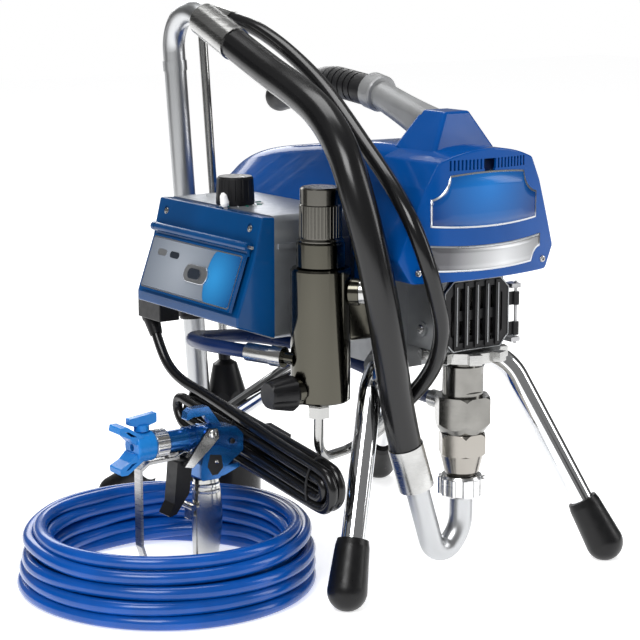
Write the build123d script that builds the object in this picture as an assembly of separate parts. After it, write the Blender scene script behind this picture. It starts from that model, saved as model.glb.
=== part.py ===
from build123d import *
import math
import os

# Stand-mounted electric airless paint sprayer.
# Millimetres. +Z up, the front cover faces -Y, the control box is on the -X side.
# Sizes below are measured from a point on the floor under the pump's plane of symmetry.
# save() moves every piece so that the origin is at the centre of the whole footprint.

os.makedirs("parts", exist_ok=True)

# ---- driving dimensions ----
FOOTPRINT_X, FOOTPRINT_Y = -71.0, 8.0    # centre of the stand and gun together
PUMP_Y = -150.0          # fluid pump axis, x = 0
MOTOR_Z = 300.0          # motor shaft axis, x = 0
CRADLE_LOW, CRADLE_TOP = 192.0, 216.0
LEG_R, LEG_WALL = 11.0, 1.6
FOOT_R, FOOT_Z = 18.0, 16.0
STROKE = 24.0            # pump stroke
RUN_FIT = 0.06           # radial running clearance
FREE_GAP = 0.4           # gap between bodies that pass each other

# leg routes: socket, knee, foot
LEGS = {
    "front_left": [(-44, -94, 203), (-80, -117, 187), (-150, -177, FOOT_Z)],
    "front_right": [(44, -98, 203), (76, -126, 186), (136, -200, FOOT_Z)],
    "rear_left": [(-38, -6, 203), (-58, 22, 176), (-164, 216, FOOT_Z)],
    "rear_right": [(38, -6, 203), (55, 22, 176), (133, 156, FOOT_Z)],
}
KNEE_R = 46.0

# drive train
CAN_R, CAN_WALL = 56.0, 4.0
CAN_FRONT, CAN_REAR = -58.0, 150.0
SHAFT_R = 8.0
PINION_R, IDLER_R = 7.0, 25.0
SMALL_R, CRANK_GEAR_R = 7.0, 30.0
IDLER_X, IDLER_Z = 27.1, 283.0
CRANK_Z = 257.8
HOUSING_X = 58.0
HOUSING_FRONT = -112.0
HOUSING_TOP = 352.0
BEARING_X = 36.0
BEARING_FRONT = -166.0
BEARING_TOP = 300.0

# pump
ROD_R, BORE_R, CYLINDER_R = 8.0, 11.0, 19.0
NECK_R = 14.0
NUT_REACH = 41.0         # clamp nut, axis to the end of a lug
CYLINDER_LOW, CYLINDER_TOP = 134.0, 197.0
HEX_TOP = 169.0
VALVE_LOW = 94.0
SWIVEL_LOW = 73.5
PIPE_R = 11.0
ELBOW = [(0, PUMP_Y, 93.8), (0, PUMP_Y, 42), (-28, PUMP_Y, 12), (-62, PUMP_Y, 118)]

# filter and prime valve
FILTER_X, FILTER_Y = -129.0, -106.0
OUTLET_ROOT, OUTLET_FACE, OUTLET_END = (-124, -106, 272), (-101.8, -127.7, 272), (-87.7, -141.5, 272)
FILTER_R, FILTER_LOW, FILTER_TOP = 27.0, 173.0, 294.0
CAP_TOP = 366.0
PRIME_Z = 184.0

# control box
BOX_REAR, BOX_FRONT = 104.0, -74.0
BOX_OUT, BOX_IN = -157.0, -70.0
BOX_LOW, BOX_TOP = 226.0, 338.0
HINGE_X, HINGE_Z, HINGE_R = -180.5, 311.5, 4.3

DOOR_FRONT, DOOR_REAR = -68.0, 92.0
KNOB_X, KNOB_Y = -140.0, 17.0
TOGGLE_X, TOGGLE_Y, TOGGLE_REST = -162.0, -2.0, -12.0

# carry handle and pump guard
HANDLE_CORE = [(0, -20, 437), (0, 60, 445), (0, 148, 424)]
HANDLE_GRIP = [(0, -5, 438.5), (0, 60, 445), (0, 150, 423.5)]
GUARD_HINGE_X, GUARD_Y = 43.0, -172.0
GUARD_KNUCKLES = (224, 252)

# intake and return tubes at the back
SUCTION_FOOT = (-93, 151, 25)
SUCTION_BEND = (-110, 182, 530)
SUCTION_END = (-110, 62, 483)
DRAIN_FOOT = (-62, 150, 40)
DRAIN_BEND = (-74, 182, 512)
DRAIN_END = (-70, 128, 503)
DRAIN_R = 4.5
JAY_END, JAY_BACK = (-64, -121, 150), (-76.8, -104.3, 130.4)
CUP_X, CUP_Y, CUP_R = -70.0, 158.0, 41.0

# outlet and the hose from the pump to the filter
OUTLET_R = 6.6
SWIVEL_R = 7.5
WHIP_ENDS = {
    "filter": ((-158.5, -91.3, 213), (-174.4, -55.7, 214)),
    "pump": ((0, -126.1, 157), (0, -106, 157)),
}

# spray gun, standing on its swivel
GUN_X, GUN_Y = -198.0, -24.0
BARREL_Z = 133.0

# hose coil on the floor
COIL_X, COIL_Y, COIL_R, COIL_H = -241.0, -22.0, 139.0, 62.0
EYE_X, EYE_Y, EYE_R = -235.8, -14.6, 104.0

COUPLINGS = [((-166, 108, 9.5), (-141, 92, 9.5)), ((-90, -10, 9.5), (-90, 20, 9.5))]

# free hoses and cord
SUCTION_HOSE_R = 15.2
DRAIN_HOSE_R = 7.5
WHIP_R = 6.4
CORD_R = 5.0
SUCTION_ROUTE = [
    (-66, -150, 130), (-79, -153, 172), (-92, -161, 218), (-104, -165, 266), (-113, -161, 312),
    (-119, -149, 358), (-119, -128, 398), (-116, -92, 428), (-113, -45, 446), (-110.5, 6, 461.5),
    (-110, 62, 483),
]
DRAIN_ROUTE = [
    (-70, 128, 503), (-68, 100, 499), (-64, 62, 485), (-61, 22, 465), (-64, -18, 446),
    (-71, -62, 422), (-78, -106, 396), (-83, -148, 370), (-84, -180, 340), (-78, -194, 306),
    (-65, -192, 272), (-54, -187, 242), (-48, -174, 216), (-46, -158, 194), (-52, -139, 171),
    (-64, -121, 150),
]
WHIP_ROUTE = [
    (-174.4, -55.7, 214), (-185, -30, 214.8), (-188, 0, 213.5), (-181, 31, 211), (-163, 57, 207),
    (-133, 71, 202), (-99, 80, 198), (-65, 76, 192), (-36, 57, 184), (-14, 27, 176),
    (-4, -10, 168), (-2, -46, 161), (0, -77, 157.5), (0, -106, 157),
]
CORD_ROUTE = [
    (-172, 112, 202), (-172, 101, 184), (-171, 85, 170), (-168, 64, 161), (-162, 44, 156),
]
HANK_A, HANK_B = (-155, 100, 136), (-150, -168, 99)


# ---- helpers ----
def save(name, shape):
    export_step(Pos(-FOOTPRINT_X, -FOOTPRINT_Y, 0) * shape, f"parts/{name}.step")


def rod(start, end, radius):
    way = Vector(*end) - Vector(*start)
    plane = Plane(origin=start, z_dir=way)
    return plane * Cylinder(radius, way.length, align=(Align.CENTER, Align.CENTER, Align.MIN))


def pipe(start, end, outer, inner):
    way = (Vector(*end) - Vector(*start)).normalized() * 0.5
    low = tuple(Vector(*start) - way)
    high = tuple(Vector(*end) + way)
    return rod(start, end, outer) - rod(low, high, inner)


def block(x, y, z):
    size = (x[1] - x[0], y[1] - y[0], z[1] - z[0])
    mid = ((x[0] + x[1]) / 2, (y[0] + y[1]) / 2, (z[0] + z[1]) / 2)
    return Pos(*mid) * Box(*size)


def bent_rod(points, radii, radius):
    path = FilletPolyline(*points, radius=radii)
    start = Plane(origin=path @ 0, z_dir=path % 0)
    return sweep(start * Circle(radius), path=path)


def bent_pipe(points, radii, outer, inner):
    return bent_rod(points, radii, outer) - bent_rod(points, radii, inner)


def turned(points, centre, axis=(0, 0, 1)):
    """A solid of revolution: points are (radius, height) along the axis from the centre."""
    face = make_face(Polyline(*[(r, 0, h) for r, h in points], close=True))
    solid = revolve(face, Axis.Z, 360)
    return Plane(origin=centre, z_dir=axis) * solid


def eased(shape, edges, *sizes):
    """Round the edges by the first of the sizes that the shape can take."""
    for size in sizes:
        try:
            return fillet(edges, size)
        except ValueError:
            print("edges too tight for", size)
    return shape


def along(start, end, share):
    a, b = Vector(*start), Vector(*end)
    return tuple(a + (b - a) * share)


def at_height(start, end, z):
    return along(start, end, (z - start[2]) / (end[2] - start[2]))


def hex_prism(radius, low, high, x=0.0, y=PUMP_Y):
    prism = Pos(x, y, low) * extrude(RegularPolygon(radius, 6), high - low)
    return prism


def fillet_radii(points):
    """The largest sensible arc at each corner of a hose route."""
    radii = []
    for before, corner, after in zip(points, points[1:], points[2:]):
        a = Vector(*corner) - Vector(*before)
        b = Vector(*after) - Vector(*corner)
        half = math.radians(a.get_angle(b)) / 2
        radii.append(0.45 * min(a.length, b.length) / math.tan(half))
    return radii


def hose(name, points, radius):
    radii = fillet_radii(points)
    path = FilletPolyline(*points, radius=radii)
    solid = sweep(Plane(origin=path @ 0, z_dir=path % 0) * Circle(radius), path=path)
    share = solid.volume / (math.pi * radius ** 2 * path.length)
    print(f"{name}: {path.length:.0f} mm, volume over section times length {share:.4f}, radii",
          [round(r) for r in radii])
    save(name, solid)
    return path.length


# ---- stand ----
def make_cradle():
    cradle = block((-52, 52), (-112, 30), (CRADLE_LOW, CRADLE_TOP))
    cradle = fillet(cradle.edges().filter_by(Axis.Z), 10)
    for y in (-84, -4):
        cradle -= block((-30, 30), (y - 18, y + 18), (CRADLE_LOW - 1, CRADLE_TOP - 6))
    cradle += block((-34, 34), (0, 24), (CRADLE_TOP, 262)) - rod((0, -1, MOTOR_Z), (0, 31, MOTOR_Z), CAN_R)
    for socket, knee, foot in LEGS.values():
        sleeve = rod(along(socket, knee, -0.1), along(socket, knee, 0.55), LEG_R + 4)
        cradle += sleeve - block((-60, 60), (-200, 60), (CRADLE_TOP, 240))
    for socket, knee, foot in LEGS.values():
        cradle -= rod(along(socket, knee, -0.02), along(socket, knee, 1.2), LEG_R + 0.05)
    cradle -= rod((0, PUMP_Y, CRADLE_LOW - 1), (0, PUMP_Y, CRADLE_TOP + 1), NUT_REACH + 1.5)
    save("stand_cradle", cradle)


def make_legs():
    for side in ("front", "rear"):
        legs = []
        for hand in ("left", "right"):
            socket, knee, foot = LEGS[f"{side}_{hand}"]
            points = [socket, knee, along(knee, foot, 0.97)]
            knee_r = min(KNEE_R, fillet_radii(points)[0])
            legs.append(bent_pipe(points, knee_r, LEG_R, LEG_R - LEG_WALL))
        save(f"{side}_legs", Compound(legs))


def make_feet():
    feet = []
    for socket, knee, foot in LEGS.values():
        up = Vector(*knee) - Vector(*foot)
        outline = [(0, 0), (FOOT_R, 0), (15.5, 40), (14.2, 46), (0, 46)]
        boot = turned(outline, foot, up) + Pos(*foot) * Sphere(FOOT_R)
        boot -= rod(foot, along(knee, foot, 0.3), LEG_R + 0.05)
        boot -= block((foot[0] - 60, foot[0] + 60), (foot[1] - 60, foot[1] + 60), (-40, 0))
        feet.append(boot)
    save("rubber_feet", Compound(feet))


# ---- motor and drive ----
def make_motor():
    can = rod((0, CAN_FRONT, MOTOR_Z), (0, CAN_REAR, MOTOR_Z), CAN_R)
    can -= rod((0, CAN_FRONT + 5, MOTOR_Z), (0, CAN_REAR - 5, MOTOR_Z), CAN_R - CAN_WALL)
    can -= rod((0, CAN_FRONT - 1, MOTOR_Z), (0, CAN_REAR + 1, MOTOR_Z), SHAFT_R + RUN_FIT)
    save("motor_can", can)
    rotor = rod((0, -78, MOTOR_Z), (0, 178, MOTOR_Z), SHAFT_R)
    rotor += rod((0, -10, MOTOR_Z), (0, 80, MOTOR_Z), 34)
    rotor += rod((0, 122, MOTOR_Z), (0, 136, MOTOR_Z), 20)
    rotor -= rod((0, -79, MOTOR_Z), (0, -60.5, MOTOR_Z), SHAFT_R + 1)
    rotor += rod((0, -78, MOTOR_Z), (0, -60.5, MOTOR_Z), PINION_R - 0.2)
    rotor += rod((0, 158, MOTOR_Z), (0, 161, MOTOR_Z), 46)
    for i in range(9):
        blade = block((-1, 1), (161, 175), (14, 45))
        rotor += Pos(0, 0, MOTOR_Z) * Rot(0, 40 * i, 0) * blade
    for i in range(10):
        flute = rod((0, -79, PINION_R), (0, -60, PINION_R), 0.9)
        rotor -= Pos(0, 0, MOTOR_Z) * Rot(0, 36 * i, 0) * flute
    save("motor_rotor", rotor)


def shroud_section(y, half, top, low):
    side = MOTOR_Z + 34
    outline = Polyline((-half, low), (-half, side), (-half * 0.6, top), (half * 0.6, top), (half, side),
                       (half, low), close=True)
    face = make_face(outline)
    upper = face.vertices().sort_by(Axis.Y)[2:]
    face = fillet(upper, half * 0.24)
    return Plane(origin=(0, y, 0), x_dir=(1, 0, 0), z_dir=(0, -1, 0)) * face


def shroud_form(grow):
    """The motor cover: a long dome that falls away towards the back."""
    sections = [(-104, 66, 394), (-10, 69, 392), (90, 68, 380), (150, 63, 366), (192, 52, 342)]
    faces = [shroud_section(y, half + grow, top + grow, 254) for y, half, top in sections]
    return loft(faces)


def make_shroud():
    shell = shroud_form(0) - shroud_form(-3) - block((-90, 90), (-105, -100), (200, 500))
    shell += shroud_section_cap()
    shell -= block((-75, -55), (-73, -61), (249, 311))
    shell -= block((-14, 14), (-101, -77), (380, 400))
    for i in range(7):
        shell -= block((-34, 34), (180, 200), (268 + 9 * i, 272 + 9 * i))
    save("motor_shroud", shell)


def shroud_section_cap():
    cap = shroud_form(0) & block((-90, 90), (188, 192), (200, 500))
    return cap


def toothed_disc(radius, y_low, y_high, x, z, teeth):
    disc = rod((x, y_low, z), (x, y_high, z), radius)
    for i in range(teeth):
        flute = rod((0, y_low - 1, radius + 0.3), (0, y_high + 1, radius + 0.3), 1.1)
        disc -= Pos(x, 0, z) * Rot(0, 360 / teeth * i, 0) * flute
    return disc


def make_gears():
    idler = toothed_disc(IDLER_R - 0.1, -76, -62, IDLER_X, IDLER_Z, 30)
    idler += rod((IDLER_X, -102, IDLER_Z), (IDLER_X, -76, IDLER_Z), SMALL_R - 0.2)
    idler -= rod((IDLER_X, -103, IDLER_Z), (IDLER_X, -61, IDLER_Z), 4.5 + RUN_FIT)
    save("idler_gear", idler)
    crank = toothed_disc(CRANK_GEAR_R - 0.1, -100, -82, 0, CRANK_Z, 36)
    crank += rod((0, -82.5, CRANK_Z), (0, -130, CRANK_Z), 9)
    crank += rod((0, -124, CRANK_Z), (0, -130, CRANK_Z), 19)
    crank += rod((STROKE / 2, -129.5, CRANK_Z), (STROKE / 2, -140.4, CRANK_Z), 5)
    save("crank_gear", crank)


def make_drive_housing():
    inner = HOUSING_X - 5
    body = block((-HOUSING_X, HOUSING_X), (HOUSING_FRONT, CAN_FRONT), (CRADLE_TOP, HOUSING_TOP))
    top = body.edges().filter_by(Axis.Y).group_by(Axis.Z)[-1]
    body = fillet(top, 22)
    body -= block((-inner, inner), (HOUSING_FRONT + 5, CAN_FRONT + 1), (CRADLE_TOP + 5, HOUSING_TOP - 6))
    body -= rod((0, HOUSING_FRONT - 1, CRANK_Z), (0, HOUSING_FRONT + 6, CRANK_Z), 9 + RUN_FIT)
    body += rod((IDLER_X, HOUSING_FRONT + 4, IDLER_Z), (IDLER_X, -63, IDLER_Z), 4.5)
    for z in (232, 322):
        for x in (-48, 48):
            body += rod((x, CAN_FRONT, z), (x, CAN_FRONT - 40, z), 6) & block(
                (-HOUSING_X, HOUSING_X), (-105, CAN_FRONT), (CRADLE_TOP, HOUSING_TOP))
    save("drive_housing", body)


def make_bearing_housing():
    half = BEARING_X
    body = block((-half, half), (BEARING_FRONT, HOUSING_FRONT), (214, BEARING_TOP))
    body = fillet(body.edges().filter_by(Axis.Z).group_by(Axis.Y)[0], 6)
    body -= block((-half + 12, half - 12), (BEARING_FRONT - 1, HOUSING_FRONT - 5), (227, BEARING_TOP - 6))
    body -= rod((0, HOUSING_FRONT - 6, CRANK_Z), (0, HOUSING_FRONT + 1, CRANK_Z), 9 + RUN_FIT)
    body -= rod((0, PUMP_Y, 213), (0, PUMP_Y, 230), NECK_R + 0.05)
    for z in (232, 286):
        body += rod((-half - 2, -135, z), (-half, -135, z), 7)
        body -= rod((-half - 3, -135, z), (-half + 2, -135, z), 3)
    save("bearing_housing", body)


def make_pump_drive():
    conrod = block((-13, 13), (-160, -141), (240, 282))
    conrod = fillet(conrod.edges().filter_by(Axis.Y), 7)
    conrod -= block((-14, 14), (-150.5, -140), (CRANK_Z - 6, CRANK_Z + 6)) & block(
        (-6, 6), (-142.5, -140), (0, 400))
    conrod -= rod((0, PUMP_Y, 239), (0, PUMP_Y, 252), ROD_R)
    save("connecting_rod", conrod)
    shaft = rod((0, PUMP_Y, 156), (0, PUMP_Y, 252), ROD_R)
    shaft += rod((0, PUMP_Y, 156), (0, PUMP_Y, 172), BORE_R - RUN_FIT)
    shaft -= rod((0, PUMP_Y, 155), (0, PUMP_Y, 164), 5)
    save("displacement_rod", shaft)


# ---- fluid pump ----
def make_pump():
    body = rod((0, PUMP_Y, CYLINDER_LOW), (0, PUMP_Y, CYLINDER_TOP), CYLINDER_R)
    body += rod((0, PUMP_Y, CYLINDER_TOP), (0, PUMP_Y, 225), NECK_R)
    for z in range(199, 225, 3):
        body -= pipe((0, PUMP_Y, z), (0, PUMP_Y, z + 1.2), NECK_R + 2, NECK_R - 0.8)
    hexagon = hex_prism(27.5, CYLINDER_LOW, HEX_TOP)
    cone = turned([(0, 0), (20, 0), (27.8, 11), (27.8, 32), (25, 35), (0, 35)], (0, PUMP_Y, CYLINDER_LOW))
    body += hexagon & cone
    body -= block((-CYLINDER_R, CYLINDER_R), (PUMP_Y - 30, PUMP_Y - 16.5), (HEX_TOP + 4, 190))
    body -= rod((0, PUMP_Y, 100), (0, PUMP_Y, 190), BORE_R)
    body -= rod((0, PUMP_Y, 100), (0, PUMP_Y, 240), BORE_R - 0.5)
    save("pump_cylinder", body)
    seals = pipe((0, PUMP_Y, 196), (0, PUMP_Y, 223), BORE_R - 0.5, ROD_R + 0.04)
    save("pump_seals", seals)


def make_clamp_nut():
    nut = rod((0, PUMP_Y, 204), (0, PUMP_Y, 213.6), 34)
    for i in range(8):
        lug = block((30, NUT_REACH), (-6, 6), (204, 213.6))
        nut += Pos(0, PUMP_Y, 0) * Rot(0, 0, 45 * i + 22.5) * lug
    nut -= rod((0, PUMP_Y, 203), (0, PUMP_Y, 215), NECK_R + RUN_FIT)
    nut = chamfer(nut.edges().group_by(Axis.Z)[0].filter_by(GeomType.LINE), 0.8)
    save("clamp_nut", nut)


def make_intake():
    cone = turned([(0, 0), (14, 0), (16.2, 3), (21, 19), (23.5, 21), (23.5, 36), (21, 39.8), (0, 39.8)],
                  (0, PUMP_Y, VALVE_LOW))
    body = hex_prism(23.2, VALVE_LOW + 19, 133.8) + turned(
        [(0, 0), (14, 0), (16.2, 3), (20, 19), (0, 19)], (0, PUMP_Y, VALVE_LOW))
    body = body & cone
    body -= rod((0, PUMP_Y, 105), (0, PUMP_Y, 140), 9)
    body -= rod((0, PUMP_Y, 90), (0, PUMP_Y, 110), 5)
    ball = Pos(0, PUMP_Y, 105 + 6.2) * Sphere(6)
    save("intake_valve", Compound([body, ball]))


def make_swivel_nut():
    nut = turned([(0, 0), (18, 0), (20, 2), (20, 17.5), (18.5, 19.8), (0, 19.8)], (0, PUMP_Y, SWIVEL_LOW))
    for i in range(12):
        rib = rod((20, 0, SWIVEL_LOW + 2), (20, 0, SWIVEL_LOW + 17.5), 2.2)
        nut += Pos(0, PUMP_Y, 0) * Rot(0, 0, 30 * i) * rib
    nut -= rod((0, PUMP_Y, SWIVEL_LOW - 1), (0, PUMP_Y, 95), PIPE_R + RUN_FIT)
    save("swivel_nut", nut)


def make_suction_line():
    save("suction_elbow", bent_pipe(ELBOW, [36, 14], PIPE_R, PIPE_R - 2))
    points = [SUCTION_FOOT, SUCTION_BEND, SUCTION_END]
    points[-1] = along(SUCTION_END, SUCTION_BEND, 0.06)
    tube = bent_pipe(points, 38, PIPE_R, PIPE_R - 1.5)
    tube += pipe(at_height(SUCTION_FOOT, SUCTION_BEND, 452), at_height(SUCTION_FOOT, SUCTION_BEND, 462),
                 PIPE_R + 1, PIPE_R - 1)
    save("suction_tube", tube)


def make_strainer():
    low = at_height(SUCTION_FOOT, SUCTION_BEND, 8)
    top = at_height(SUCTION_FOOT, SUCTION_BEND, 62)
    strainer = pipe(low, top, PIPE_R + 2.4, PIPE_R + 0.05)
    for i in range(3):
        for k in range(8):
            slot = Rot(0, 0, 45 * k) * block((8, 16), (-1.6, 1.6), (0, 3.2))
            strainer -= Pos(*at_height(SUCTION_FOOT, SUCTION_BEND, 13 + 5.5 * i)) * slot
    save("inlet_strainer", strainer)
    cup = rod((CUP_X, CUP_Y, 0), (CUP_X, CUP_Y, 86), CUP_R)
    cup = fillet(cup.edges().group_by(Axis.Z)[0], 4)
    cup -= rod((CUP_X, CUP_Y, 3), (CUP_X, CUP_Y, 90), CUP_R - 2.5)
    cup += pipe((CUP_X, CUP_Y, 80), (CUP_X, CUP_Y, 86), CUP_R + 1.2, CUP_R - 2.5)
    save("drip_cup", cup)


def make_drain_line():
    end = along(DRAIN_END, DRAIN_BEND, 0.12)
    tube = bent_pipe([DRAIN_FOOT, DRAIN_BEND, end], 12, DRAIN_R, DRAIN_R - 1)
    x, y = FILTER_X - 2, FILTER_Y
    points = [(x, y, 166), (x, y, 118), along(JAY_END, JAY_BACK, 1.6), along(JAY_END, JAY_BACK, 0.3)]
    jay = bent_pipe(points, [17, 20], DRAIN_R, DRAIN_R - 1)
    jay += hex_prism(10.5, 157, 167, x, y) - rod((x, y, 150), (x, y, 170), DRAIN_R - 1)
    save("drain_tubes", Compound([tube, jay]))
    low = at_height(DRAIN_FOOT, DRAIN_BEND, 112)
    up = Vector(*DRAIN_BEND) - Vector(*DRAIN_FOOT)
    outline = [(0, 0), (21, 0), (21, 5), (12.5, 40), (6.3, 44), (6.3, 74), (0, 74)]
    cone = turned(outline, low, up)
    for i in range(8):
        cut = Rot(0, 0, 45 * i) * block((19.2, 40), (-30, 30), (-1, 20))
        cone -= Plane(origin=low, z_dir=up) * cut
    cone -= rod(at_height(DRAIN_FOOT, DRAIN_BEND, 100), at_height(DRAIN_FOOT, DRAIN_BEND, 200), DRAIN_R + 0.05)
    save("drain_deflector", cone)


def make_tube_bracket():
    bracket = block((-30, -6), (30, 184), (208, 213))
    bracket += block((-122, -6), (146, 184), (208, 213))
    bracket = fillet(bracket.edges().filter_by(Axis.Z), 4)
    for start, end, radius in ((SUCTION_FOOT, SUCTION_BEND, PIPE_R), (DRAIN_FOOT, DRAIN_BEND, DRAIN_R)):
        low, high = at_height(start, end, 200), at_height(start, end, 222)
        bracket += rod(at_height(start, end, 203), at_height(start, end, 218), radius + 3)
        bracket -= rod(low, high, radius + 0.05)
    save("tube_bracket", bracket)


def make_ferrules():
    way = (Vector(*ELBOW[-1]) - Vector(*ELBOW[-2])).normalized()
    low = Vector(*ELBOW[-1]) - way * 30
    high = Vector(-66, PUMP_Y, 130)
    lower = rod(tuple(low), tuple(high), SUCTION_HOSE_R + 1.2)
    lower -= rod(tuple(low - way), tuple(low + way * 30.2), PIPE_R + 0.05)
    upper_start = along(SUCTION_END, SUCTION_BEND, 0.46)
    upper = rod(upper_start, SUCTION_END, SUCTION_HOSE_R + 1.2)
    upper -= rod(along(SUCTION_END, SUCTION_BEND, 0.5), along(SUCTION_END, SUCTION_BEND, -0.02), PIPE_R + 0.05)
    drain_top = rod(along(DRAIN_END, DRAIN_BEND, 0.55), DRAIN_END, DRAIN_HOSE_R + 1)
    drain_top -= rod(along(DRAIN_END, DRAIN_BEND, 0.6), along(DRAIN_END, DRAIN_BEND, 0.1), DRAIN_R + 0.05)
    drain_low = rod(JAY_BACK, JAY_END, DRAIN_HOSE_R + 1)
    drain_low -= rod(along(JAY_BACK, JAY_END, -0.1), along(JAY_BACK, JAY_END, 0.8), DRAIN_R + 0.05)
    return lower, upper, drain_top, drain_low


# ---- covers and handle ----
def cover_outline(shrink):
    """Front view of the cover: wide at the hips, an arched top."""
    hip, shoulder, arch = 90 - shrink, 66 - shrink, 54 - shrink
    low, top = 282 + shrink, 399 - shrink
    line = Polyline((-arch, 388 - shrink), (-shoulder, 366), (-hip, 303), (-78 + shrink, low),
                    (78 - shrink, low), (hip, 303), (shoulder, 366), (arch, 388 - shrink))
    crown = ThreePointArc((-arch, 388 - shrink), (0, top), (arch, 388 - shrink))
    face = make_face([line, crown])
    return fillet(face.vertices(), 5)


def cover_form(shrink, front_y, back_y):
    face = Plane(origin=(0, back_y, 0), x_dir=(1, 0, 0), z_dir=(0, -1, 0)) * cover_outline(shrink)
    bar = extrude(face, back_y - front_y + 30)
    radius = 260.0
    bow = rod((0, front_y + radius, 200), (0, front_y + radius, 480), radius)
    return bar & bow


def tower_form(shrink):
    low = Pos(0, -118, 392) * Rectangle(74 - 2 * shrink, 62 - 2 * shrink)
    high = Pos(2, -117, 428 - shrink) * Rectangle(29 - 2 * shrink, 34 - 2 * shrink)
    return loft([low, high])


def make_front_cover():
    outer = cover_form(0, -184, -100)
    outer = eased(outer, outer.edges().filter_by(lambda e: e.center().Y < -150 and e.length > 4), 2.5, 1.5)
    tower = tower_form(0)
    tower = eased(tower, tower.edges().filter_by(lambda e: e.center().Z > 394), 4, 2)
    shell = outer + tower
    shell -= cover_form(3, -181, -99)
    shell -= tower_form(3) & block((-40, 40), (-150, -80), (380, 420))
    shell -= block((-BEARING_X - 3, BEARING_X + 3), (BEARING_FRONT - 1, -99), (270, BEARING_TOP + 1))
    shell -= block((-HOUSING_X - 1, HOUSING_X + 1), (HOUSING_FRONT - 1, -99), (270, 290))
    shell -= shroud_form(0.5) & block((-90, 90), (-100, -80), (380, 400))
    shell -= block((-15.5, 15.5), (-104, -80), (390, 429))
    for x in range(-42, 43, 4):
        shell -= block((x - 1, x + 1), (-190, -176), (381, 390))
    shell -= block((-6, 6), (-190, -176), (378, 390))
    save("front_cover", shell)


def make_handle():
    arm = loft([Plane(origin=(0, -98, 412), x_dir=(1, 0, 0), z_dir=(0, 1, 0.25)) * RectangleRounded(30, 32, 9),
                Plane(origin=(0, -60, 424), x_dir=(1, 0, 0), z_dir=(0, 1, 0.3)) * RectangleRounded(27, 28, 11),
                Plane(origin=(0, -22, 436), x_dir=(1, 0, 0), z_dir=(0, 1, 0.18)) * RectangleRounded(27, 27, 13)])
    arm += block((-13, 13), (-103, -78), (HOUSING_TOP, 408))
    arm += turned([(0, 0), (16.5, 0), (17.5, 2), (17.5, 16), (16, 18), (0, 18)], (0, -24, 436.4), (0, 1, 0.18))
    arm += bent_rod(HANDLE_CORE, 90, 8)
    save("handle_arm", arm)
    grip = bent_rod(HANDLE_GRIP, 90, 15)
    end = HANDLE_GRIP[-1]
    grip += Pos(*end) * Sphere(15)
    grip -= bent_rod(HANDLE_CORE, 90, 8.05)
    for i in range(9):
        spot = along(HANDLE_GRIP[0], HANDLE_GRIP[1], 0.25 + 0.14 * i)
        grip -= Plane(origin=spot, z_dir=(0, 1, 0.05)) * (Cylinder(16, 2) - Cylinder(14.2, 3))
    save("handle_grip", grip)


def make_guard():
    """A flat black door over the moving rod, with upright ribs."""
    face = GUARD_Y + 4
    door = block((-40, 34), (GUARD_Y, face), (216, 280))
    door = chamfer(door.edges().filter_by(Axis.Y), 10)
    window = block((-33, 27), (GUARD_Y - 2, face + 2), (223, 273))
    window = chamfer(window.edges().filter_by(Axis.Y), 8)
    door = door - window
    for i in range(5):
        x = -27 + 12 * i
        door += block((x - 2.6, x + 2.6), (GUARD_Y - 1.5, face - 0.5), (218, 278))
    door += block((-37, 31), (face - 2.5, face - 0.5), (243, 252))
    for z in GUARD_KNUCKLES:
        door += rod((GUARD_HINGE_X, GUARD_Y, z), (GUARD_HINGE_X, GUARD_Y, z + 12), 3.4)
        door += block((33, GUARD_HINGE_X), (GUARD_Y, GUARD_Y + 3), (z, z + 12))
    door -= rod((GUARD_HINGE_X, GUARD_Y, 200), (GUARD_HINGE_X, GUARD_Y, 290), 1.5 + RUN_FIT)
    save("pump_guard", door)


# ---- filter and valves ----
def make_filter():
    x, y = FILTER_X, FILTER_Y
    body = turned([(0, 0), (25.5, 0), (27, 1.5), (27, 119), (25.5, 121), (0, 121)], (x, y, FILTER_LOW))
    boss = rod((x + 22, y + 4, 190), (x + 22, y + 4, 286), 10)
    body += boss
    body += turned([(0, 0), (20.4, 0), (21.8, 1.5), (21.8, 22), (20.4, 23.5), (0, 23.5)], (x, y, FILTER_TOP))
    body += block((x - 23, x - 3), (y - 12, y + 12), (200, 222))
    body += rod(OUTLET_ROOT, OUTLET_FACE, 12.4)
    body += rod((x - 20, y, PRIME_Z), (x - 31, y, PRIME_Z), 13)
    start, end = WHIP_ENDS["filter"]
    body += rod(along(start, end, -0.3), start, 5.5)
    bridge = block((x + 10, -HOUSING_X), (y - 8, y + 4.8), (224, 280))
    bridge = fillet(bridge.edges().filter_by(Axis.X), 5)
    body += bridge
    body -= rod((x, y, 184), (x, y, FILTER_TOP + 30), 17)
    body -= rod(OUTLET_ROOT, OUTLET_END, 5)
    body -= rod((x - 5, y, PRIME_Z), (x - 40, y, PRIME_Z), 5 + RUN_FIT)
    body -= rod((x - 2, y, 160), (x - 2, y, 186), DRAIN_R - 1)
    body = fix_inlet(body)
    save("filter_body", body)
    cap = turned([(0, 0), (16.9, 0), (16.9, 23.9), (21, 24), (21, 25), (19.2, 27), (19.2, 56), (18.4, 57),
                  (18.4, 70.5), (17, 72), (0, 72)], (x, y, FILTER_TOP))
    for i in range(36):
        flute = rod((19.6, 0, FILTER_TOP + 28), (19.6, 0, FILTER_TOP + 56), 0.8)
        cap -= Pos(x, y, 0) * Rot(0, 0, 10 * i) * flute
    cap = cap - rod((x, y, FILTER_TOP - 1), (x, y, FILTER_TOP + 20), 12)
    save("filter_cap", cap)
    element = pipe((x, y, 190), (x, y, FILTER_TOP + 18), 11, 8)
    for i in range(8):
        for z in range(198, 296, 14):
            element -= Pos(x, y, z) * Rot(0, 0, 45 * i) * block((6, 13), (-2, 2), (0, 8))
    save("filter_element", element)


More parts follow.
